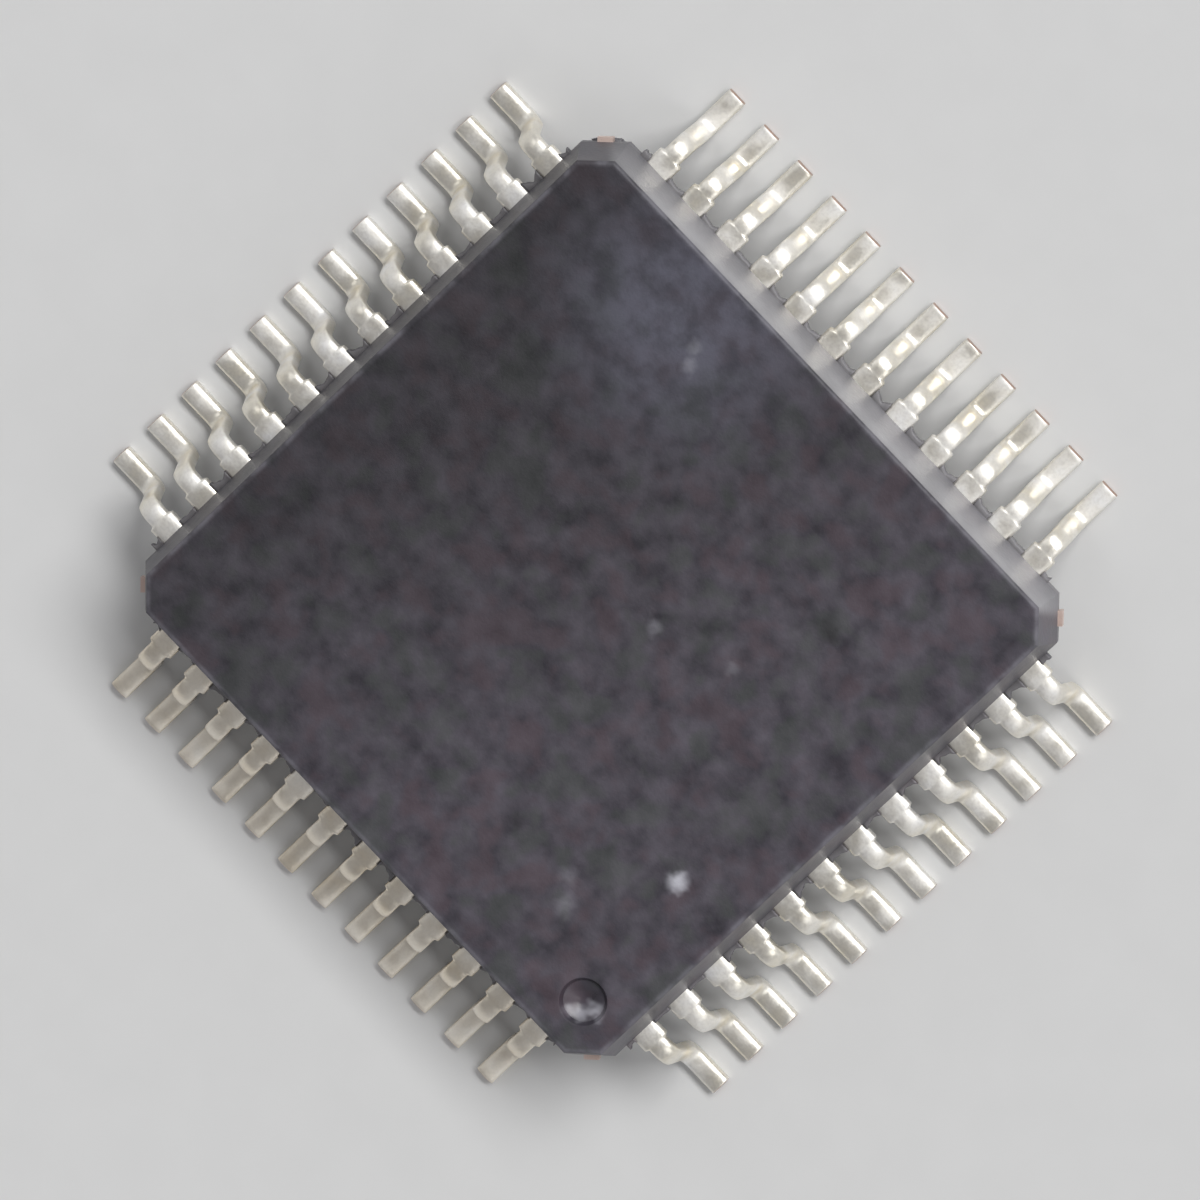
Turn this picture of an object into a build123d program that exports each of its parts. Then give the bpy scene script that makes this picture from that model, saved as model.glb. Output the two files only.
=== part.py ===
from build123d import *
from math import radians, sqrt, tan
import os

# A low-profile quad flat package: a moulded body with gull-wing leads on its four sides.
# Millimetres and degrees. The origin is on the seating plane, under the body's centre.
# Pin one's corner is at (+X, -Y), and the leads count counter-clockwise seen from above.

# Lead row
leads_per_side = 12
lead_pitch = 0.5
lead_width = 0.22
lead_thickness = 0.127
row_margin = 0.75  # from the last lead's centre line to the body's side

# Gull-wing bend, seen from the end of the row
lead_reach = 1.0  # from the body's side to the tip of the foot
foot_length = 0.6  # from the heel at gauge height to the tip of the foot
gauge_height = 0.25
leg_angle = 82.0
bend_radius = 0.1  # on the inside of both bends

# Wide shoulder, which ends where the bar that joined the leads was punched out
shoulder_width = 0.3
shoulder_length = 0.19  # from the body's side

# Inner lead, which fans in towards the die
knee_inset = 0.3  # from the body's side to the turn
tip_width = 0.2  # measured along the row of tips
tip_gap = 0.3  # from the pad's edge to the tips

# Moulded body
body_height = 1.4
standoff = 0.1  # under the body
draft_angle = 12.0
corner_cut = 0.35
edge_round = 0.04
pin_one_diameter = 0.5
pin_one_depth = 0.06
pin_one_inset = 0.65  # from both of the body's sides to the dimple's centre
recess_taper = 30.0  # of the wall of each round recess
ejector_diameter = 1.0
ejector_depth = 0.03
ejector_inset = 1.5  # from both of the body's sides to the mark's centre

# Die pad and its tie bars
pad_margin = 0.6  # from the die's edge to the pad's edge
pad_downset = 0.2  # of the pad below the leads
tie_width = 0.16
tie_clearance = 0.13  # between a tie bar and the nearest inner lead
tie_flat = 0.1  # from the pad's corner to the foot of the ramp
tie_ramp_angle = 35.0
tie_stub = 0.05  # of the cut end past the body's corner

# Die and its adhesive
die_size = 2.8
die_thickness = 0.28
attach_thickness = 0.025
attach_margin = 0.05  # of the adhesive past the die's edge

# Bond wires
wire_diameter = 0.03
wire_sides = 4
wire_loop_height = 0.15  # above the die
bond_inset = 0.12  # from the die's edge to a row of bonds
bond_row_margin = 0.35  # from the row's last bond to the die's other edge
stitch_inset = 0.15  # from an inner lead's tip to the wire's end

# Sizes that follow from those above
body_size = (leads_per_side - 1) * lead_pitch + 2 * row_margin
body_half = body_size / 2
body_top = standoff + body_height
foot_tip = body_half + lead_reach
shoulder_end = body_half + shoulder_length

body_middle = standoff + body_height / 2
lead_bottom = body_middle - lead_thickness / 2
lead_top = body_middle + lead_thickness / 2
leg_slope = tan(radians(leg_angle))
heel = foot_tip - foot_length
leg_start = heel - (lead_bottom - gauge_height) / leg_slope
leg_end = heel + gauge_height / leg_slope

pad_size = die_size + 2 * pad_margin
pad_half = pad_size / 2
pad_bottom = lead_bottom - pad_downset
pad_top = pad_bottom + lead_thickness
die_bottom = pad_top + attach_thickness
die_top = die_bottom + die_thickness

knee_distance = body_half - knee_inset
tip_distance = pad_half + tip_gap
tip_row_half = tip_distance - sqrt(2) * (tie_width / 2 + tie_clearance) - tip_width / 2
tip_pitch = 2 * tip_row_half / (leads_per_side - 1)
bond_pitch = (die_size - 2 * bond_row_margin) / (leads_per_side - 1)

# The four sides, counter-clockwise from pin one's: name and outward direction
sides = {
    "east": Vector(1, 0, 0),
    "north": Vector(0, 1, 0),
    "west": Vector(-1, 0, 0),
    "south": Vector(0, -1, 0),
}
up = Vector(0, 0, 1)

os.makedirs("parts", exist_ok=True)


def plan_plane(outward):
    """The seating plane: its X runs outward from the body's centre, its Y along the row of leads."""
    return Plane(origin=(0, 0, 0), x_dir=outward, z_dir=up)


def section_plane(outward):
    """An upright plane through the centre: its X runs outward and its Y is up."""
    return Plane(origin=(0, 0, 0), x_dir=outward, z_dir=outward.cross(up))


def row_place(index):
    """A copy's number, counted from the middle of its row."""
    return index - (leads_per_side - 1) / 2


def stitch_place(index):
    """Where a wire ends on its inner lead's centre line, as distances outward and along."""
    tip = row_place(index) * tip_pitch
    knee = row_place(index) * lead_pitch
    share = stitch_inset / (knee_distance - tip_distance)
    return tip_distance + stitch_inset, tip + (knee - tip) * share


def make_lead(outward, index):
    """One lead: a strip bent to the gull-wing section, cut to the outline seen from above."""
    tip = row_place(index) * tip_pitch
    knee = row_place(index) * lead_pitch
    with BuildPart() as lead:
        with BuildSketch(section_plane(outward)):
            with BuildLine():
                FilletPolyline(
                    (tip_distance, lead_bottom),
                    (leg_start, lead_bottom),
                    (leg_end, 0),
                    (foot_tip, 0),
                    radius=[bend_radius, bend_radius + lead_thickness],
                )
                offset(amount=lead_thickness, side=Side.LEFT)
            make_face()
        extrude(amount=body_half, both=True)
        with BuildSketch(plan_plane(outward)):
            with BuildLine():
                Polyline(
                    (tip_distance, tip - tip_width / 2),
                    (knee_distance, knee - shoulder_width / 2),
                    (shoulder_end, knee - shoulder_width / 2),
                    (shoulder_end, knee + shoulder_width / 2),
                    (knee_distance, knee + shoulder_width / 2),
                    (tip_distance, tip + tip_width / 2),
                    close=True,
                )
            make_face()
            with Locations((shoulder_end, knee)):
                Rectangle(foot_tip - shoulder_end, lead_width, align=(Align.MIN, Align.CENTER))
        extrude(amount=lead_top, mode=Mode.INTERSECT)
    return lead


def make_wires(outward, lead_row):
    """One side's wires, each with a neck on the die and a span that slopes down to its lead."""
    start_distance = die_size / 2 - bond_inset
    level = plan_plane(outward)
    with BuildPart() as wires:
        for index in range(leads_per_side):
            start_along = row_place(index) * bond_pitch
            end_distance, end_along = stitch_place(index)
            start = level.from_local_coords((start_distance, start_along, die_top))
            neck = start + up * wire_loop_height
            stitch = level.from_local_coords((end_distance, end_along, lead_top))
            run = (stitch - start).project_to_plane(Plane.XY)
            # The span runs on into the lead, which is then cut from it
            sunk = stitch + (stitch - neck) * (wire_diameter / (neck.Z - lead_top))
            with BuildSketch(Plane(origin=start, x_dir=run, z_dir=up)):
                RegularPolygon(wire_diameter / 2, wire_sides, rotation=180 / wire_sides)
            with BuildLine() as path:
                Polyline(start, neck, sunk)
            sweep(path=path.line, transition=Transition.RIGHT)
        add(lead_row, mode=Mode.SUBTRACT)
    return wires


# Leads, numbered on from side to side, then each side's wires
leads = []
wire_rows = []
for side, outward in sides.items():
    lead_row = []
    for index in range(leads_per_side):
        lead = make_lead(outward, index)
        name = f"lead_{len(leads) + index + 1:02d}"
        lead.part.label = name
        export_step(lead.part, f"parts/{name}.step")
        lead_row.append(lead.part)
    leads += lead_row
    wires = make_wires(outward, lead_row)
    wires.part.label = f"bond_wires_{side}"
    export_step(wires.part, f"parts/bond_wires_{side}.step")
    wire_rows.append(wires.part)

# Die pad, with a tie bar ramping up from each corner to the body's cut corner
pad_corner = pad_half * sqrt(2)
ramp_start = pad_corner + tie_flat
ramp_end = ramp_start + pad_downset / tan(radians(tie_ramp_angle))
corner_distance = (body_size - corner_cut) / sqrt(2)
with BuildPart() as die_pad:
    with BuildSketch(Plane.XY.offset(pad_bottom)):
        Rectangle(pad_size, pad_size)
    extrude(amount=lead_thickness)
    for along, across in [(-1, -1), (1, -1), (1, 1), (-1, 1)]:
        with BuildSketch(section_plane(Vector(along, across, 0).normalized())):
            with BuildLine():
                Polyline(
                    (pad_corner - tie_width, pad_bottom),
                    (ramp_start, pad_bottom),
                    (ramp_end, lead_bottom),
                    (corner_distance + tie_stub, lead_bottom),
                )
                offset(amount=lead_thickness, side=Side.LEFT, kind=Kind.INTERSECTION)
            make_face()
        extrude(amount=tie_width / 2, both=True)
die_pad.part.label = "die_pad"
export_step(die_pad.part, "parts/die_pad.step")

with BuildPart() as die_attach:
    with BuildSketch(Plane.XY.offset(pad_top)):
        Rectangle(die_size + 2 * attach_margin, die_size + 2 * attach_margin)
    extrude(amount=attach_thickness)
die_attach.part.label = "die_attach"
export_step(die_attach.part, "parts/die_attach.step")

with BuildPart() as die:
    with BuildSketch(Plane.XY.offset(die_bottom)):
        Rectangle(die_size, die_size)
    extrude(amount=die_thickness)
die.part.label = "die"
export_step(die.part, "parts/die.step")

# Moulded body: drafted halves above and below a band as thick as the leads
with BuildPart() as mould_body:
    with BuildSketch(Plane.XY.offset(body_middle)) as outline:
        Rectangle(body_size, body_size)
        chamfer(outline.vertices(), corner_cut)
    extrude(amount=lead_thickness / 2)
    with BuildSketch(Plane.XY.offset(lead_top)):
        add(outline.sketch_local)
    extrude(amount=body_top - lead_top, taper=draft_angle)
    fillet(mould_body.faces().sort_by(Axis.Z)[-1].edges(), edge_round)
    mirror(about=Plane.XY.offset(body_middle))
    # Pin one's dimple in the top, then the ejector marks in the bottom
    with BuildSketch(Plane(origin=up * body_top, x_dir=(1, 0, 0), z_dir=-up)):
        with Locations((body_half - pin_one_inset, body_half - pin_one_inset)):
            Circle(pin_one_diameter / 2)
    extrude(amount=pin_one_depth, taper=recess_taper, mode=Mode.SUBTRACT)
    ejector_place = body_half - ejector_inset
    with BuildSketch(Plane.XY.offset(standoff)):
        with Locations((-ejector_place, ejector_place), (ejector_place, -ejector_place)):
            Circle(ejector_diameter / 2)
    extrude(amount=ejector_depth, taper=recess_taper, mode=Mode.SUBTRACT)
    # The pockets of everything that is moulded in
    add([*leads, die_pad.part, die_attach.part, die.part, *wire_rows], mode=Mode.SUBTRACT)
mould_body.part.label = "mould_body"
export_step(mould_body.part, "parts/mould_body.step")
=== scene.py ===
from math import cos, pi, radians, sin, tan

import bpy
import numpy as np
from mathutils import Matrix, Vector


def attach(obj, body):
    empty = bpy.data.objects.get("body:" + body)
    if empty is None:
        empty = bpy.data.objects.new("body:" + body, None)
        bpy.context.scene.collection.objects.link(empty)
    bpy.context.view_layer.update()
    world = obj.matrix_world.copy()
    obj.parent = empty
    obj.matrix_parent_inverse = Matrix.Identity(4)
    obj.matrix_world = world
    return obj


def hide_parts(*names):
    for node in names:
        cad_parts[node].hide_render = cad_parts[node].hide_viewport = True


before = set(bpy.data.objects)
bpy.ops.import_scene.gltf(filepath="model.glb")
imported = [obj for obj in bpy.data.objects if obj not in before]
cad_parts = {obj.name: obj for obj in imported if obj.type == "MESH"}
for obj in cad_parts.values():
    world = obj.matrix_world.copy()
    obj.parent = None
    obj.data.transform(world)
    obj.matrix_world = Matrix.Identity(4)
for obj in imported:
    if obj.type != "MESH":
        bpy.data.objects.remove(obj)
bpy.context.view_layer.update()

# The chip's sizes, in metres. The origin is on the seating plane, under the body's centre.
mm = 0.001
leads_per_side = 12
lead_pitch = 0.5 * mm
lead_thickness = 0.127 * mm
lead_bottom = 0.7365 * mm
lead_top = lead_bottom + lead_thickness
body_middle = 0.8 * mm
tip_distance = 2.3 * mm
tip_pitch = 0.346 * mm
knee_distance = 3.2 * mm
body_half = 3.5 * mm
corner_cut = 0.35 * mm
shoulder_end = 3.69 * mm
foot_tip = 4.5 * mm
leg_angle = radians(82)
bend_radius = 0.1 * mm
leg_start = 3.832 * mm
leg_end = 3.935 * mm
half_widths = {"tip": 0.1 * mm, "shoulder": 0.15 * mm, "foot": 0.11 * mm}
die_top = 0.9685 * mm
die_half = 1.4 * mm
bond_pitch = 0.191 * mm
bond_inset = 0.12 * mm
stitch_inset = 0.15 * mm
wire_radius = 0.015 * mm
pin_one = (2.85 * mm, -2.85 * mm)
ejector_marks = ((-2 * mm, 2 * mm), (2 * mm, -2 * mm))

# Marks on the top by their colour: x, y and radius in millimetres, and strength
pale_dust_and_painted_glint = (0.62, 0.62, 0.68, 1)
dark_pit = (0.015, 0.013, 0.016, 1)
top_marks = {
    pale_dust_and_painted_glint: (
        (2.62, -1.27, 0.16, 0.7),
        (1.8, -2.05, 0.16, 0.1),
        (2.0, -2.28, 0.17, 0.12),
        # The next three marks are a painted glint on the dimple's rim towards the corner
        (3.0, -2.83, 0.14, 0.5),
        (2.93, -2.96, 0.12, 0.35),
        (2.8, -3.02, 0.1, 0.2),
        (0.58, 0.38, 0.12, 0.14),
        (1.42, 0.67, 0.12, 0.1),
        (-1.17, 2.64, 0.12, 0.12),
        (-1.08, 2.48, 0.12, 0.14),
    ),
    dark_pit: (
        (1.83, 1.66, 0.16, 0.7),
        (1.04, -2.04, 0.13, 0.5),
    ),
}

# The four rows, counter-clockwise from pin one's corner: name and outward direction
rows = {"east": (1, 0), "north": (0, 1), "west": (-1, 0), "south": (0, -1)}
row_places = np.arange(leads_per_side) - (leads_per_side - 1) / 2


def set_camera():
    """A long lens nearly above the chip, leaning towards the north row. The picture's right is 47 degrees
    counter-clockwise from the east."""
    lean = radians(12)
    distance = 0.102
    back = Vector((0, sin(lean), cos(lean)))
    right = Vector((0.6805, 0.7328, 0))
    right = (right - back * right.dot(back)).normalized()
    up = back.cross(right)
    lens = bpy.data.cameras.new("camera")
    lens.lens = 300
    lens.sensor_width = 36
    lens.clip_start = 0.001
    lens.clip_end = 5
    camera = bpy.data.objects.new("camera", lens)
    bpy.context.scene.collection.objects.link(camera)
    turn = Matrix((right, up, back)).transposed().to_4x4()
    place = Vector((0, 0, 0.75 * mm)) + back * distance
    camera.matrix_world = Matrix.Translation(place) @ turn
    bpy.context.scene.camera = camera
    bpy.context.scene.view_settings.view_transform = "Standard"


def add_softbox(name, direction, size, share):
    """A lamp a metre away that faces the chip. Share is its part of the light at which a level colour
    renders as written."""
    towards = Vector(direction).normalized()
    lamp = bpy.data.lights.new(name, "AREA")
    lamp.shape = "RECTANGLE"
    lamp.size = size[0]
    lamp.size_y = size[1]
    lamp.energy = share * pi * pi / towards.z
    box = bpy.data.objects.new(name, lamp)
    turn = towards.to_track_quat("Z", "Y").to_matrix().to_4x4()
    box.matrix_world = Matrix.Translation(towards) @ turn
    bpy.context.scene.collection.objects.link(box)


class Recipe:
    """A node tree being written. Each call adds one node and joins or sets its inputs."""

    def __init__(self, tree):
        self.tree = tree

    def add(self, kind, inputs, **settings):
        node = self.tree.nodes.new(kind)
        for key, value in settings.items():
            setattr(node, key, value)
        for socket, value in inputs.items():
            if isinstance(value, bpy.types.NodeSocket):
                self.tree.links.new(value, node.inputs[socket])
            else:
                node.inputs[socket].default_value = value
        return node

    def math(self, operation, *values, clamp=False):
        node = self.add("ShaderNodeMath", dict(enumerate(values)), operation=operation, use_clamp=clamp)
        return node.outputs[0]

    def vector(self, operation, *values):
        return self.add("ShaderNodeVectorMath", dict(enumerate(values)), operation=operation).outputs[0]

    def ramp(self, value, low, high, to_low=0.0, to_high=1.0):
        """A smooth step from one value to another as the input goes from low to high."""
        inputs = {"Value": value, "From Min": low, "From Max": high, "To Min": to_low, "To Max": to_high}
        node = self.add("ShaderNodeMapRange", inputs, interpolation_type="SMOOTHSTEP")
        return node.outputs["Result"]

    def mix(self, share, first, second, blend_type="MIX"):
        node = self.add(
            "ShaderNodeMix", {0: share, 6: first, 7: second}, data_type="RGBA", blend_type=blend_type
        )
        return node.outputs[2]

    def group(self, name, **inputs):
        node = self.add("ShaderNodeGroup", {}, node_tree=bpy.data.node_groups[name])
        for socket, value in inputs.items():
            if isinstance(value, bpy.types.NodeSocket):
                self.tree.links.new(value, node.inputs[socket])
            else:
                node.inputs[socket].default_value = value
        return node.outputs[0]


def start_group(name, inputs, output):
    """A shader node group with named inputs and one value out."""
    tree = bpy.data.node_groups.new(name, "ShaderNodeTree")
    for label, kind in inputs.items():
        tree.interface.new_socket(label, in_out="INPUT", socket_type=kind)
    tree.interface.new_socket(output, in_out="OUTPUT", socket_type="NodeSocketFloat")
    recipe = Recipe(tree)
    start = tree.nodes.new("NodeGroupInput")
    end = tree.nodes.new("NodeGroupOutput")
    return recipe, start.outputs, end.inputs[0]


def make_grain_group():
    """Noise from 0 to 1, whose lumps are about Size metres across, drawn out by Stretch."""
    sockets = {
        "Vector": "NodeSocketVector",
        "Size": "NodeSocketFloat",
        "Detail": "NodeSocketFloat",
        "Stretch": "NodeSocketVector",
        "Contrast": "NodeSocketFloat",
    }
    recipe, given, result = start_group("grain", sockets, "Value")
    squeezed = recipe.vector("DIVIDE", given["Vector"], given["Stretch"])
    scaled = recipe.add("ShaderNodeVectorMath", {0: squeezed}, operation="SCALE")
    recipe.tree.links.new(recipe.math("DIVIDE", 1.0, given["Size"]), scaled.inputs["Scale"])
    noise = recipe.add(
        "ShaderNodeTexNoise", {"Vector": scaled.outputs[0], "Scale": 1.0, "Detail": given["Detail"]}
    )
    swing = recipe.math("SUBTRACT", noise.outputs[0], 0.5)
    value = recipe.math("MULTIPLY_ADD", swing, given["Contrast"], 0.5, clamp=True)
    recipe.tree.links.new(value, result)


def make_spot_group():
    """1 inside an upright round column and 0 outside it, with an edge as wide as Softness."""
    sockets = {
        "Vector": "NodeSocketVector",
        "Centre": "NodeSocketVector",
        "Radius": "NodeSocketFloat",
        "Softness": "NodeSocketFloat",
    }
    recipe, given, result = start_group("round_spot", sockets, "Mask")
    level = recipe.vector("MULTIPLY", given["Vector"], (1, 1, 0))
    gap = recipe.add("ShaderNodeVectorMath", {0: level, 1: given["Centre"]}, operation="DISTANCE")
    inner = recipe.math("SUBTRACT", given["Radius"], given["Softness"])
    mask = recipe.ramp(gap.outputs["Value"], inner, given["Radius"], 1.0, 0.0)
    recipe.tree.links.new(mask, result)


def make_band_group():
    """1 where the greater of |x| and |y| lies between Inner and Outer, with soft edges."""
    sockets = {
        "Vector": "NodeSocketVector",
        "Inner": "NodeSocketFloat",
        "Outer": "NodeSocketFloat",
        "Softness": "NodeSocketFloat",
    }
    recipe, given, result = start_group("square_band", sockets, "Mask")
    parts = recipe.add("ShaderNodeSeparateXYZ", {0: recipe.vector("ABSOLUTE", given["Vector"])})
    reach = recipe.math("MAXIMUM", parts.outputs[0], parts.outputs[1])
    begin = recipe.math("SUBTRACT", given["Inner"], given["Softness"])
    finish = recipe.math("ADD", given["Outer"], given["Softness"])
    rise = recipe.ramp(reach, begin, given["Inner"])
    fall = recipe.ramp(reach, given["Outer"], finish, 1.0, 0.0)
    recipe.tree.links.new(recipe.math("MULTIPLY", rise, fall), result)


def start_material(name):
    """A material with its recipe, its shader and the place on the chip."""
    material = bpy.data.materials.new(name)
    material.use_nodes = True
    material.node_tree.nodes.clear()
    recipe = Recipe(material.node_tree)
    shader = recipe.add("ShaderNodeBsdfPrincipled", {})
    recipe.add("ShaderNodeOutputMaterial", {"Surface": shader.outputs[0]})
    place = recipe.add("ShaderNodeTexCoord", {}).outputs["Object"]
    return material, recipe, shader, place


def finish_material(recipe, shader, colour, roughness, height, depth, metallic=0.0):
    """Joins the colour, the roughness and a bump of that depth in metres to the shader."""
    bump = recipe.add("ShaderNodeBump", {"Strength": 1.0, "Distance": depth, "Height": height})
    recipe.tree.links.new(colour, shader.inputs["Base Color"])
    recipe.tree.links.new(roughness, shader.inputs["Roughness"])
    recipe.tree.links.new(bump.outputs[0], shader.inputs["Normal"])
    if isinstance(metallic, bpy.types.NodeSocket):
        recipe.tree.links.new(metallic, shader.inputs["Metallic"])
    else:
        shader.inputs["Metallic"].default_value = metallic


def make_moulding_compound():
    """Charcoal epoxy with its mineral filler showing as a soft mottle, and a spark-eroded matt skin."""
    material, recipe, shader, place = start_material("moulding_compound")
    parts = recipe.add("ShaderNodeSeparateXYZ", {0: place}).outputs
    even = (1.0, 1.0, 1.0)

    mottle = recipe.group("grain", Vector=place, Size=0.3 * mm, Detail=4.0, Stretch=even, Contrast=2.4)
    cloud = recipe.group("grain", Vector=place, Size=1.1 * mm, Detail=2.0, Stretch=even, Contrast=1.6)
    warm_place = recipe.vector("ADD", place, (0.011, 0.004, 0.007))
    warmth = recipe.group(
        "grain", Vector=warm_place, Size=0.36 * mm, Detail=2.0, Stretch=even, Contrast=2.2
    )
    colour = recipe.mix(mottle, (0.023, 0.02, 0.028, 1), (0.082, 0.073, 0.091, 1))
    colour = recipe.mix(recipe.ramp(warmth, 0.5, 0.9, 0.0, 0.45), colour, (0.072, 0.045, 0.055, 1))
    colour = recipe.mix(recipe.ramp(warmth, 0.5, 0.1, 0.0, 0.4), colour, (0.044, 0.055, 0.044, 1))

    # Painted shading: the top is lighter towards pin one's corner, with the cloud mottle added in, and a
    # painted bluish sheen lies by the north-west corner
    on_top = recipe.ramp(parts[2], 1.36 * mm, 1.42 * mm)
    lean = recipe.math("MULTIPLY_ADD", parts[1], -0.35, parts[0])
    # Painted shade across the top, lighter towards pin one's corner, plus random cloud
    painted_shade_and_cloud = recipe.ramp(lean, -3.6 * mm, 1.9 * mm, 0.36, 0.97)
    painted_shade_and_cloud = recipe.math("MULTIPLY_ADD", cloud, 0.2, painted_shade_and_cloud)
    colour = recipe.mix(1.0, colour, recipe.vector("MULTIPLY", even, painted_shade_and_cloud), "MULTIPLY")
    # Painted bluish sheen by the north-west corner of the top
    painted_sheen = recipe.group(
        "round_spot", Vector=place, Centre=(-1.5 * mm, 2.8 * mm, 0), Radius=1.9 * mm, Softness=1.9 * mm
    )
    painted_sheen = recipe.math("MULTIPLY", painted_sheen, on_top)
    painted_sheen = recipe.math("MULTIPLY", painted_sheen, recipe.ramp(mottle, 0.1, 0.9, 0.35, 0.8))
    colour = recipe.mix(painted_sheen, colour, (0.108, 0.108, 0.144, 1))

    # Drafted walls and the edges of top and bottom are lighter: partly rubbed by handling and by release
    # from the mould, and partly painted sheen and painted highlight, most of all high on the north wall
    # where the lamp falls. Reach is the greatest of |x|, |y| and the same distance measured square to a
    # cut corner.
    size = recipe.add("ShaderNodeSeparateXYZ", {0: recipe.vector("ABSOLUTE", place)}).outputs
    corner = recipe.math("SUBTRACT", recipe.math("ADD", size[0], size[1]), 2 * body_half - corner_cut)
    corner = recipe.math("MULTIPLY_ADD", corner, 0.5**0.5, body_half)
    reach = recipe.math("MAXIMUM", recipe.math("MAXIMUM", size[0], size[1]), corner)
    outside = recipe.ramp(reach, 3.34 * mm, 3.36 * mm)
    level = recipe.math("ABSOLUTE", recipe.math("SUBTRACT", parts[2], body_middle))
    wall = recipe.math("MULTIPLY", outside, recipe.ramp(level, 0.655 * mm, 0.68 * mm, 1.0, 0.0))
    edge = recipe.ramp(level, 0.66 * mm, 0.68 * mm)
    rim = recipe.math("MULTIPLY", recipe.ramp(reach, 3.3 * mm, 3.36 * mm), edge)
    # Painted sheen, with some rubbing: all the walls are lighter
    colour = recipe.mix(recipe.math("MULTIPLY", wall, 0.35), colour, (0.185, 0.18, 0.2, 1))
    # Painted highlight high on the north wall, where the lamp falls
    north = recipe.ramp(parts[1], 3.3 * mm, 3.4 * mm)
    north = recipe.math("MULTIPLY", north, recipe.ramp(parts[0], -3.3 * mm, -2.4 * mm, 0.4, 1.0))
    north = recipe.math("MULTIPLY", north, recipe.ramp(parts[2], 0.8 * mm, 1.45 * mm, 0.45, 1.0))
    painted_north_highlight = recipe.ramp(mottle, 0.0, 1.0, 0.75, 1.0)
    painted_north_highlight = recipe.math("MULTIPLY", recipe.math("MULTIPLY", wall, north), painted_north_highlight)
    colour = recipe.mix(painted_north_highlight, colour, (0.34, 0.335, 0.35, 1))
    # Rubbed rims of top and bottom, and a painted highlight along the top rim
    rim_wear_and_highlight = recipe.math("MULTIPLY", rim, recipe.ramp(mottle, 0.2, 0.8, 0.15, 0.6))
    colour = recipe.mix(rim_wear_and_highlight, colour, (0.19, 0.185, 0.21, 1))
    parting = recipe.math("ABSOLUTE", recipe.math("SUBTRACT", parts[2], lead_top))
    line = recipe.ramp(parting, 0.0, 0.012 * mm, 0.5, 0.0)
    colour = recipe.mix(recipe.math("MULTIPLY", line, wall), colour, (0.22, 0.21, 0.21, 1))

    # Pale dust and rub marks on the top, a painted glint on the dimple's corner-side rim, and two small
    # dark pits: place, radius and strength
    ragged = recipe.group("grain", Vector=place, Size=0.12 * mm, Detail=1.0, Stretch=even, Contrast=1.6)
    shift = recipe.add("ShaderNodeCombineXYZ", {0: ragged, 1: ragged}).outputs[0]
    frayed = recipe.vector("MULTIPLY_ADD", shift, (0.1 * mm, -0.08 * mm, 0), place)
    for shown, marks in top_marks.items():
        for along, across, radius, strength in marks:
            centre = ((along + 0.05) * mm, (across - 0.04) * mm, 0)
            spot = recipe.group(
                "round_spot", Vector=frayed, Centre=centre, Radius=radius * mm, Softness=radius * mm
            )
            share = recipe.math("MULTIPLY", recipe.math("MULTIPLY", spot, on_top), strength)
            colour = recipe.mix(share, colour, shown)

    # The dimple and the ejector pins' marks are smoother than the skin round them, and so are the walls
    dimple = recipe.group(
        "round_spot", Vector=place, Centre=(*pin_one, 0), Radius=0.26 * mm, Softness=0.02 * mm
    )
    smooth = recipe.math("MULTIPLY", dimple, on_top)
    underneath = recipe.ramp(parts[2], 0.15 * mm, 0.2 * mm, 1.0, 0.0)
    for mark in ejector_marks:
        spot = recipe.group(
            "round_spot", Vector=place, Centre=(*mark, 0), Radius=0.51 * mm, Softness=0.02 * mm
        )
        smooth = recipe.math("MAXIMUM", smooth, recipe.math("MULTIPLY", spot, underneath))
    roughness = recipe.math("MULTIPLY_ADD", mottle, 0.14, 0.5)
    roughness = recipe.math("MULTIPLY_ADD", smooth, -0.25, roughness)
    roughness = recipe.math("MULTIPLY_ADD", wall, -0.14, roughness)

    # The skin is 2 micrometres deep, and the dimple's floor is a dish 100 micrometres deep
    skin = recipe.group("grain", Vector=place, Size=0.035 * mm, Detail=2.0, Stretch=even, Contrast=1.4)
    height = recipe.math("MULTIPLY_ADD", mottle, 0.5, skin)
    height = recipe.math("MULTIPLY", height, recipe.math("MULTIPLY_ADD", smooth, -0.8, 1.0))
    dish = recipe.group(
        "round_spot", Vector=place, Centre=(*pin_one, 0), Radius=0.27 * mm, Softness=0.27 * mm
    )
    dish = recipe.math("MULTIPLY", dish, on_top)
    height = recipe.math("MULTIPLY_ADD", dish, -50.0, height)
    finish_material(recipe, shader, colour, roughness, height, 0.002 * mm)
    return material


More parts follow.
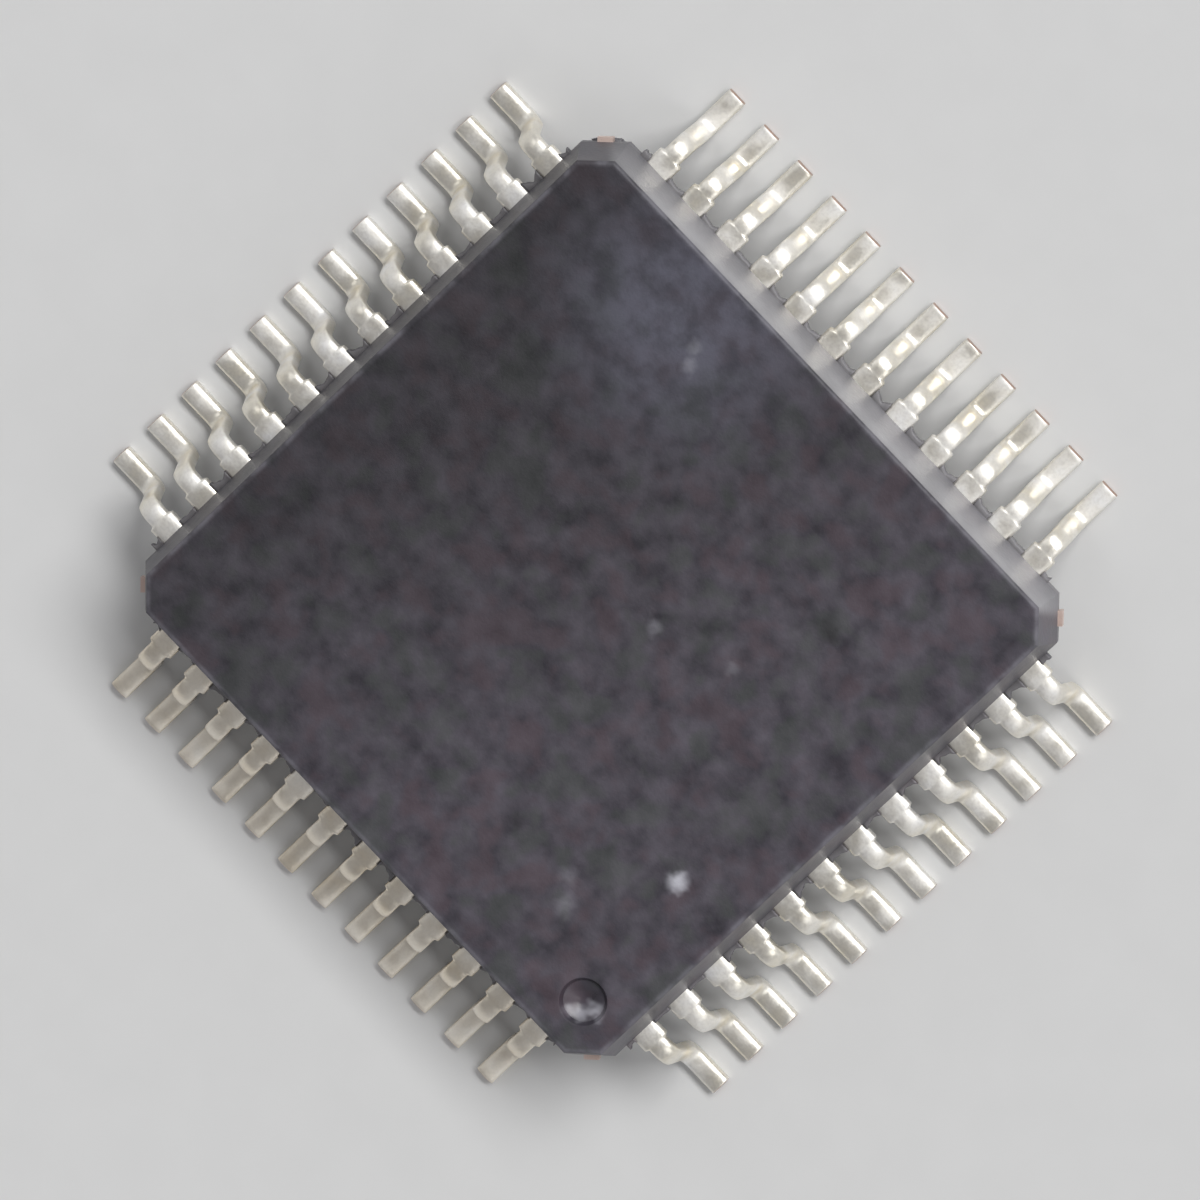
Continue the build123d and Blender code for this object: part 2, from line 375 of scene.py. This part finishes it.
def make_lead_finish():
    """Matt tin over copper alloy, with painted shade making it duller and yellower on the south row. The
    alloy is bare at the cut foot tips, and inside the body it has no tin, and silver at its bonding tips."""
    material, recipe, shader, place = start_material("tinned_copper")
    even = (1.0, 1.0, 1.0)
    crystals = recipe.group("grain", Vector=place, Size=0.03 * mm, Detail=1.0, Stretch=even, Contrast=1.3)
    blotches = recipe.group("grain", Vector=place, Size=0.35 * mm, Detail=2.0, Stretch=even, Contrast=1.8)
    tin = recipe.mix(blotches, (0.88, 0.82, 0.68, 1), (0.97, 0.965, 0.955, 1))
    tin = recipe.mix(recipe.ramp(crystals, 0.2, 0.7, 0.16, 0.0), tin, (0.55, 0.52, 0.46, 1))
    # Painted shade: the south row's tin is duller and yellower
    painted_shade_tint = recipe.mix(blotches, (0.70, 0.56, 0.40, 1), (0.90, 0.82, 0.66, 1))
    south = recipe.add("ShaderNodeSeparateXYZ", {0: place}).outputs[1]
    tin = recipe.mix(recipe.ramp(south, -3.3 * mm, -3.6 * mm, 0.0, 0.4), tin, painted_shade_tint)
    copper = recipe.mix(crystals, (0.46, 0.33, 0.27, 1), (0.62, 0.47, 0.40, 1))
    silver = recipe.mix(crystals, (0.82, 0.81, 0.79, 1), (0.93, 0.92, 0.90, 1))
    plated = recipe.group(
        "square_band", Vector=place, Inner=3.46 * mm, Outer=4.493 * mm, Softness=0.004 * mm
    )
    tips = recipe.group(
        "square_band", Vector=place, Inner=2.0 * mm, Outer=2.75 * mm, Softness=0.01 * mm
    )
    colour = recipe.mix(tips, recipe.mix(plated, copper, tin), silver)
    roughness = recipe.math("MULTIPLY_ADD", crystals, 0.12, recipe.ramp(blotches, 0.25, 0.75, 0.28, 0.5))
    finish_material(recipe, shader, colour, roughness, crystals, 0.001 * mm, 0.9)
    return material


def make_pad_copper():
    """Rolled copper alloy with fine lines along the sheet and a silver ring round the die."""
    material, recipe, shader, place = start_material("lead_frame_copper")
    even = (1.0, 1.0, 1.0)
    drawn = (40.0, 1.0, 1.0)
    lines = recipe.group("grain", Vector=place, Size=0.015 * mm, Detail=2.0, Stretch=drawn, Contrast=1.8)
    tarnish = recipe.group("grain", Vector=place, Size=0.5 * mm, Detail=3.0, Stretch=even, Contrast=2.0)
    copper = recipe.mix(lines, (0.70, 0.40, 0.27, 1), (0.84, 0.55, 0.41, 1))
    copper = recipe.mix(recipe.ramp(tarnish, 0.5, 0.9, 0.0, 0.5), copper, (0.42, 0.22, 0.14, 1))
    silver = recipe.mix(lines, (0.80, 0.79, 0.77, 1), (0.92, 0.91, 0.89, 1))
    soft = 0.01 * mm
    ring = recipe.group("square_band", Vector=place, Inner=1.5 * mm, Outer=1.93 * mm, Softness=soft)
    colour = recipe.mix(ring, copper, silver)

    # The tie bars' ends at the body's corners are torn, and paler
    cut_ends = recipe.group("square_band", Vector=place, Inner=3.3 * mm, Outer=3.5 * mm, Softness=soft)
    torn = recipe.mix(tarnish, (0.58, 0.42, 0.36, 1), (0.80, 0.65, 0.58, 1))
    colour = recipe.mix(cut_ends, colour, torn)
    roughness = recipe.math("MULTIPLY_ADD", lines, 0.15, 0.25)
    metallic = recipe.math("MULTIPLY_ADD", cut_ends, -0.6, 1.0)
    finish_material(recipe, shader, colour, roughness, lines, 0.001 * mm, metallic)
    return material


def make_die_adhesive():
    """Grey epoxy full of silver flakes."""
    material, recipe, shader, place = start_material("silver_epoxy")
    flakes = recipe.add("ShaderNodeTexVoronoi", {"Vector": place, "Scale": 60000.0})
    chance = recipe.add("ShaderNodeSeparateColor", {0: flakes.outputs["Color"]}).outputs[0]
    glint = recipe.math("GREATER_THAN", chance, 0.55)
    even = (1.0, 1.0, 1.0)
    lumps = recipe.group("grain", Vector=place, Size=0.08 * mm, Detail=3.0, Stretch=even, Contrast=1.8)
    epoxy = recipe.mix(lumps, (0.30, 0.30, 0.30, 1), (0.42, 0.42, 0.41, 1))
    colour = recipe.mix(glint, epoxy, (0.72, 0.72, 0.71, 1))
    roughness = recipe.math("MULTIPLY_ADD", glint, -0.3, 0.65)
    metallic = recipe.math("MULTIPLY", glint, 0.8)
    finish_material(recipe, shader, colour, roughness, lumps, 0.004 * mm, metallic)
    return material


def make_silicon():
    """A die: blocks of circuitry under glass-like passivation, ringed by its aluminium bond pads."""
    material, recipe, shader, place = start_material("silicon")
    blocks = recipe.add(
        "ShaderNodeTexBrick",
        {
            "Vector": place,
            "Color1": (0.10, 0.14, 0.16, 1),
            "Color2": (0.25, 0.20, 0.26, 1),
            "Mortar": (0.42, 0.38, 0.28, 1),
            "Scale": 1.0,
            "Mortar Size": 0.008 * mm,
            "Brick Width": 0.42 * mm,
            "Row Height": 0.27 * mm,
        },
    )
    wide = (6.0, 1.0, 1.0)
    cells = recipe.group("grain", Vector=place, Size=0.012 * mm, Detail=1.0, Stretch=wide, Contrast=2.5)
    faint_cells = recipe.math("MULTIPLY", cells, 0.45)
    circuit = recipe.mix(faint_cells, blocks.outputs[0], (0.34, 0.33, 0.28, 1))

    # The bond pads lie between 1.243 and 1.317 mm from the centre, one in the middle of each pitch
    parts = recipe.add("ShaderNodeSeparateXYZ", {0: recipe.vector("ABSOLUTE", place)}).outputs
    along = recipe.math("MINIMUM", parts[0], parts[1])
    share = recipe.math("FRACT", recipe.math("DIVIDE", along, bond_pitch))
    offset = recipe.math("ABSOLUTE", recipe.math("SUBTRACT", share, 0.5))
    near_pad = recipe.ramp(offset, 0.19, 0.21, 1.0, 0.0)
    thin = 0.003 * mm
    pad_row = recipe.group("square_band", Vector=place, Inner=1.243 * mm, Outer=1.317 * mm, Softness=thin)
    within = recipe.ramp(along, 1.14 * mm, 1.15 * mm, 1.0, 0.0)
    pads = recipe.math("MULTIPLY", recipe.math("MULTIPLY", near_pad, pad_row), within)
    core = recipe.group("square_band", Vector=place, Inner=-1.0 * mm, Outer=1.2 * mm, Softness=thin)
    on_top = recipe.ramp(parts[2], die_top - 0.004 * mm, die_top - 0.002 * mm)
    bare = recipe.mix(cells, (0.10, 0.11, 0.13, 1), (0.16, 0.17, 0.20, 1))
    colour = recipe.mix(recipe.math("MULTIPLY", core, on_top), bare, circuit)
    pads = recipe.math("MULTIPLY", pads, on_top)
    colour = recipe.mix(pads, colour, (0.86, 0.86, 0.87, 1))
    roughness = recipe.math("MULTIPLY_ADD", cells, 0.14, 0.12)
    metallic = recipe.math("MULTIPLY", core, 0.5)
    metallic = recipe.math("MAXIMUM", recipe.math("MULTIPLY", pads, 0.9), metallic)
    finish_material(recipe, shader, colour, roughness, blocks.outputs[1], 0.0005 * mm, metallic)
    return material


def make_gold():
    """Drawn gold wire."""
    material, recipe, shader, place = start_material("gold")
    drawn = (1.0, 1.0, 3.0)
    lines = recipe.group("grain", Vector=place, Size=0.008 * mm, Detail=2.0, Stretch=drawn, Contrast=1.8)
    colour = recipe.mix(lines, (0.88, 0.60, 0.22, 1), (0.98, 0.77, 0.36, 1))
    roughness = recipe.math("MULTIPLY_ADD", lines, 0.14, 0.16)
    finish_material(recipe, shader, colour, roughness, lines, 0.0004 * mm, 1.0)
    return material


def make_floor_paint():
    """Plain pale matt board."""
    material, recipe, shader, place = start_material("floor_paint")
    even = (1.0, 1.0, 1.0)
    tooth = recipe.group("grain", Vector=place, Size=0.6 * mm, Detail=3.0, Stretch=even, Contrast=1.0)
    colour = recipe.mix(tooth, (0.61, 0.61, 0.605, 1), (0.64, 0.64, 0.635, 1))
    roughness = recipe.math("MULTIPLY_ADD", tooth, 0.1, 0.7)
    finish_material(recipe, shader, colour, roughness, tooth, 0.002 * mm)
    return material


def put_into_mesh(name, points, faces, material):
    """A piece from its points and faces, with smooth shading."""
    mesh = bpy.data.meshes.new(name)
    mesh.from_pydata(points.tolist(), [], faces)
    mesh.shade_smooth()
    mesh.materials.append(material)
    piece = bpy.data.objects.new(name, mesh)
    bpy.context.scene.collection.objects.link(piece)
    return piece


def carried_faces(stations, around, first=0):
    """Faces of a closed section carried along a path: a quad between each two neighbours of two
    neighbouring sections, and at each end a fan from a pole to the last section."""
    ring = np.arange(around)
    after = (ring + 1) % around
    start = first + np.arange(stations - 1)[:, None] * around
    beyond = start + around
    quads = np.stack([start + ring, start + after, beyond + after, beyond + ring], axis=-1)
    first_pole = first + stations * around
    last_ring = first + (stations - 1) * around
    fans = np.concatenate(
        [
            np.stack([np.full(around, first_pole), first + after, first + ring], axis=-1),
            np.stack([np.full(around, first_pole + 1), last_ring + ring, last_ring + after], axis=-1),
        ]
    )
    return quads.reshape(-1, 4).tolist() + fans.tolist()


def with_poles(sections):
    """The points of the sections, then the middle of the first section and of the last."""
    poles = np.stack([sections[0].mean(axis=0), sections[-1].mean(axis=0)])
    return np.concatenate([sections.reshape(-1, 3), poles])


# A strip's outline, walked counter-clockwise: the turn of its normal in degrees, then how far across and
# how far up its corner's centre lies. The underside has two more points near its corners.
strip_outline = np.array(
    [
        *((turn, 1, -1) for turn in (-90, -45, 0)),
        *((turn, 1, 1) for turn in (0, 22.5, 45, 67.5, 90)),
        *((turn, -1, 1) for turn in (90, 112.5, 135, 157.5, 180)),
        *((turn, -1, -1) for turn in (180, 225, 270)),
        *((270, across, -1) for across in (-0.7, 0.7)),
    ]
)
crown_width = 0.1 * mm
crown_drop = 0.036 * mm
bottom_burr = 0.008 * mm
end_round = 0.012 * mm
pole_inset = 0.036 * mm


def strip_section(half_width, inset):
    """Sections of a stamped and tinned strip, as across and up from its underside. Each point is a
    corner's centre plus that corner's width and height times cos and sin of its turn. The top corners are
    flat quarter ellipses, because the tin is crowned, and inset draws the section in at the ends."""
    degrees, side, level = strip_outline.T
    turn = np.radians(degrees)
    half_width = half_width[:, None] - inset[:, None]
    half_height = lead_thickness / 2 - inset[:, None]
    wide = np.where(level > 0, np.minimum(crown_width, 0.95 * half_width), bottom_burr)
    high = np.where(level > 0, np.minimum(crown_drop, 0.9 * half_height), bottom_burr)
    across = side * (half_width - wide) + wide * np.cos(turn)
    up = lead_thickness / 2 + level * (half_height - high) + high * np.sin(turn)
    return across, up


def lead_path():
    """The underside of a lead in its upright plane: distance outward, height, turn and end inset of each
    station. It runs level, turns down by the leg's angle on an arc, goes straight down the leg, turns
    back on a wider arc and ends in the level foot. A point on an arc is its centre plus or minus the
    radius times (sin, cos) of the turn, and the ends are rounded by a quarter circle."""
    quarter = np.radians([0, 45, 90])
    rounding = end_round * (1 - np.cos(quarter))
    drawn_in = end_round * (1 - np.sin(quarter))
    heel_radius = bend_radius + lead_thickness
    first_centre = leg_start - bend_radius * tan(leg_angle / 2)
    second_centre = leg_end + heel_radius * tan(leg_angle / 2)
    turn = np.linspace(0, leg_angle, 9)
    level = mm * np.array(
        [2.35, 2.6, 2.9, 3.17, 3.2, 3.23, 3.4, 3.5, 3.6, 3.66, 3.675, 3.683, 3.69, 3.697, 3.705, 3.72]
    )
    foot = mm * np.array([4.2, 4.35, 4.46])
    outward = np.concatenate(
        [
            [tip_distance],
            tip_distance + rounding,
            level,
            first_centre + bend_radius * np.sin(turn),
            second_centre - heel_radius * np.sin(turn[::-1]),
            foot,
            foot_tip - rounding[::-1],
            [foot_tip],
        ]
    )
    before = 1 + len(rounding) + len(level)
    after = len(foot) + len(rounding) + 1
    height = np.concatenate(
        [
            np.full(before, lead_bottom),
            lead_bottom - bend_radius + bend_radius * np.cos(turn),
            heel_radius - heel_radius * np.cos(turn[::-1]),
            np.zeros(after),
        ]
    )
    turns = np.concatenate([np.zeros(before), turn, turn[::-1], np.zeros(after)])
    inset = np.zeros(len(outward))
    inset[:4] = [pole_inset, *drawn_in]
    inset[-4:] = [*drawn_in[::-1], pole_inset]
    return outward, height, turns, inset


def to_row(outward_side, outward, along, height):
    """Turns distances outward, along the row and up into places on the chip."""
    ox, oy = outward_side
    return np.stack([outward * ox - along * oy, outward * oy + along * ox, height], axis=-1)


def make_leads(material):
    """Each lead is the strip's section carried along the lead's path. Seen from above, its middle line
    and its half width are straight runs between the bonding tip, the knee, the shoulder's cut and the
    foot."""
    outward, height, turns, inset = lead_path()
    cut = shoulder_end + mm * np.array([-0.015, -0.007, 0.007, 0.015])
    wide = half_widths["shoulder"]
    narrow = half_widths["foot"]
    stops = np.array([tip_distance, knee_distance, *cut, foot_tip])
    step = (wide - narrow) * 0.15
    widths = np.array([half_widths["tip"], wide, wide, wide - step, narrow + step, narrow, narrow])
    across, up = strip_section(np.interp(outward, stops, widths), inset)
    lift = up * np.sin(turns)[:, None]
    rise = up * np.cos(turns)[:, None]
    faces = carried_faces(*across.shape)
    number = 0
    for outward_side in rows.values():
        for place in row_places:
            number += 1
            ends = [place * tip_pitch, place * lead_pitch]
            middle = np.interp(outward, [tip_distance, knee_distance], ends)
            sections = to_row(
                outward_side, outward[:, None] + lift, middle[:, None] + across, height[:, None] + rise
            )
            node = f"lead_{number:02d}"
            piece = put_into_mesh(f"stamped_{node}", with_poles(sections), faces, material)
            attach(piece, "root")
            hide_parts(node)


def make_wires(material):
    """Each wire is a round section carried along an upright path. Its ball is a stack of rings on the
    bond pad, whose radii swell and narrow into the neck. From there its loop is a cubic Bezier curve to
    the inner lead, where the section flattens into the stitch."""
    ball_height = mm * np.array([0.001, 0.001, 0.005, 0.011, 0.017, 0.022, 0.026])
    ball_radius = mm * np.array([0.02, 0.029, 0.035, 0.037, 0.034, 0.027, 0.018])
    share = np.linspace(0, 1, 20)
    round_turn = np.linspace(0, 2 * pi, 12, endpoint=False)
    stitch_share = stitch_inset / (knee_distance - tip_distance)
    drop = lead_top + 0.006 * mm - die_top
    neck, crest, slope = mm * np.array([0.03, 0.21, 0.16])
    rise = (1 - share) ** 3 * neck + 3 * (1 - share) ** 2 * share * crest
    rise = rise + 3 * (1 - share) * share**2 * slope + share**3 * drop
    flatten = np.clip((share - 0.9) / 0.1, 0, 1)
    wide = np.concatenate([ball_radius, wire_radius * (1 + 0.9 * flatten)])
    thick = np.concatenate([ball_radius, wire_radius * (1 - 0.65 * flatten)])
    across = wide[:, None] * np.cos(round_turn)
    over = thick[:, None] * np.sin(round_turn)
    for row, outward_side in rows.items():
        points = []
        faces = []
        for place in row_places:
            tip = place * tip_pitch
            stitch = tip + (place * lead_pitch - tip) * stitch_share
            start = np.array([die_half - bond_inset, place * bond_pitch])
            end = np.array([tip_distance + stitch_inset, stitch])
            span = np.hypot(*(end - start))
            run = (end - start) / span
            reach = 3 * (1 - share) * share**2 * 0.35 * span + share**3 * span
            slope_run = np.gradient(reach)
            slope_rise = np.gradient(rise)
            length = np.hypot(slope_run, slope_rise)
            distance = np.concatenate([np.zeros(len(ball_height)), reach])
            level = np.concatenate([ball_height, rise]) + die_top
            lean = np.concatenate([np.zeros(len(ball_height)), slope_run / length])
            climb = np.concatenate([np.ones(len(ball_height)), slope_rise / length])
            forward = distance[:, None] - over * climb[:, None]
            outward = start[0] + forward * run[0] - across * run[1]
            along = start[1] + forward * run[1] + across * run[0]
            sections = to_row(outward_side, outward, along, level[:, None] + over * lean[:, None])
            faces += carried_faces(*across.shape, first=sum(len(part) for part in points))
            points.append(with_poles(sections))
        piece = put_into_mesh(f"round_wires_{row}", np.concatenate(points), faces, material)
        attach(piece, "root")
        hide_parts(f"bond_wires_{row}")


def make_resin_webs(material):
    """Stubs of moulding compound between the leads, where it filled the frame out to the punched bar and
    broke off. Each is a flat section with rounded edges, carried along the gap, and its reach is a sum of
    sines of the place along the gap, with its own size and phase in each gap."""
    chance = np.random.default_rng(11)
    share = np.linspace(0, 1, 11)
    points = []
    faces = []
    edge_in = mm * np.array([0.014, 0.004, 0.0, 0.0, 0.004, 0.014])
    edge_up = mm * np.array([0.0, 0.004, 0.014, -0.014, -0.004, 0.0])
    low = lead_bottom + 0.002 * mm
    high = lead_top - 0.002 * mm
    base = np.array([low, low, low, high, high, high])
    inner_half_gap = 0.102 * mm
    end_half_gap = 0.05 * mm
    end_shift = 0.06 * mm
    for outward_side in rows.values():
        for place in np.arange(leads_per_side + 1) - leads_per_side / 2:
            middle = place * lead_pitch
            half_gap = inner_half_gap
            if abs(place) == leads_per_side / 2:
                middle -= np.sign(place) * end_shift
                half_gap = end_half_gap
            along = middle + half_gap * (1 - 2 * share)
            size, sway, phase = chance.uniform((0.035, 0.1, 0.0), (0.085, 0.3, 6.3))
            ragged = 1 + sway * np.sin(5 * share + phase) + 0.5 * sway * np.sin(13 * share + 2 * phase)
            reach = body_half + size * mm * ragged * (0.75 + 0.5 * (2 * share - 1) ** 2)
            outer = reach[:, None] - edge_in
            back = np.full((len(share), 1), body_half - 0.03 * mm)
            outward = np.concatenate([back, outer, back], axis=1)[:, ::-1]
            height = np.concatenate([[low], base + edge_up, [high]])[::-1]
            height = np.broadcast_to(height, outward.shape)
            sections = to_row(outward_side, outward, along[:, None] + 0 * outward, height)
            sections = sections[::-1]
            faces += carried_faces(*outward.shape, first=sum(len(part) for part in points))
            points.append(with_poles(sections))
    piece = put_into_mesh("resin_webs", np.concatenate(points), faces, material)
    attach(piece, "root")


def make_gate_scar(material):
    """The broken stub of the gate on the north-west corner, under the tie bar: a box-like ball whose
    coordinates are signed powers of cosines and sines of two angles, roughened by a product of sines."""
    turn = np.linspace(0, 2 * pi, 48, endpoint=False)[None, :]
    climb = np.linspace(-pi / 2, pi / 2, 17)[1:-1, None]
    half_width, half_depth, half_height = mm * np.array([0.16, 0.05, 0.07])
    middle = 0.655 * mm
    sunk = 0.028 * mm

    def power(value, exponent):
        return np.sign(value) * np.abs(value) ** exponent

    rough = 1 + 0.12 * np.sin(7 * turn + 1) * np.sin(5 * climb + 2)
    rough = rough + 0.07 * np.sin(13 * turn) * np.sin(11 * climb)
    across = half_width * power(np.cos(climb), 0.4) * power(np.cos(turn), 0.5) * rough
    proud = half_depth * power(np.cos(climb), 0.4) * power(np.sin(turn), 0.5) * rough
    up = half_height * power(np.sin(climb), 0.6) + 0 * turn
    distance = (2 * body_half - corner_cut) / 2**0.5 - sunk + proud
    x = -distance / 2**0.5 + across / 2**0.5
    y = distance / 2**0.5 + across / 2**0.5
    sections = np.stack([x, y, middle + up], axis=-1)
    piece = put_into_mesh("gate_scar", with_poles(sections), carried_faces(*across.shape), material)
    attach(piece, "root")


def make_floor(material):
    """A level board: a square grid whose height is the same everywhere, just under the feet."""
    lines = 13
    height = -0.003 * mm
    side = np.linspace(-1.5, 1.5, lines)
    x, y = np.meshgrid(side, side)
    points = np.stack([x, y, np.full_like(x, height)], axis=-1).reshape(-1, 3)
    corner = np.arange(lines - 1)[:, None] * lines + np.arange(lines - 1)
    faces = np.stack([corner, corner + 1, corner + lines + 1, corner + lines], axis=-1)
    faces = faces.reshape(-1, 4)
    put_into_mesh("floor", points, faces.tolist(), material)


def set_world():
    """Pale at the horizon, like the floor, and dimmer overhead."""
    world = bpy.data.worlds.new("studio")
    bpy.context.scene.world = world
    world.use_nodes = True
    world.node_tree.nodes.clear()
    recipe = Recipe(world.node_tree)
    direction = recipe.add("ShaderNodeTexCoord", {}).outputs["Generated"]
    height = recipe.add("ShaderNodeSeparateXYZ", {0: direction}).outputs[2]
    colour = recipe.mix(recipe.ramp(height, 0.02, 0.5), (0.61, 0.61, 0.61, 1), (0.27, 0.27, 0.28, 1))
    background = recipe.add("ShaderNodeBackground", {"Color": colour, "Strength": 1.0})
    recipe.add("ShaderNodeOutputWorld", {"Surface": background.outputs[0]})


set_camera()
set_world()
add_softbox("north_box", (0.08, 0.84, 1.0), (0.8, 0.32), 0.64)
add_softbox("east_box", (1.0, 0.1, 1.0), (0.32, 0.64), 0.08)
add_softbox("west_box", (-1.0, 0.1, 1.0), (0.32, 0.64), 0.05)

make_grain_group()
make_spot_group()
make_band_group()
moulding_compound = make_moulding_compound()
lead_finish = make_lead_finish()
node_materials = {
    "mould_body": moulding_compound,
    "die_pad": make_pad_copper(),
    "die_attach": make_die_adhesive(),
    "die": make_silicon(),
}
for node, material in node_materials.items():
    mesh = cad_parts[node].data
    mesh.materials.clear()
    mesh.materials.append(material)

make_leads(lead_finish)
make_wires(make_gold())
make_resin_webs(moulding_compound)
make_gate_scar(moulding_compound)
make_floor(make_floor_paint())
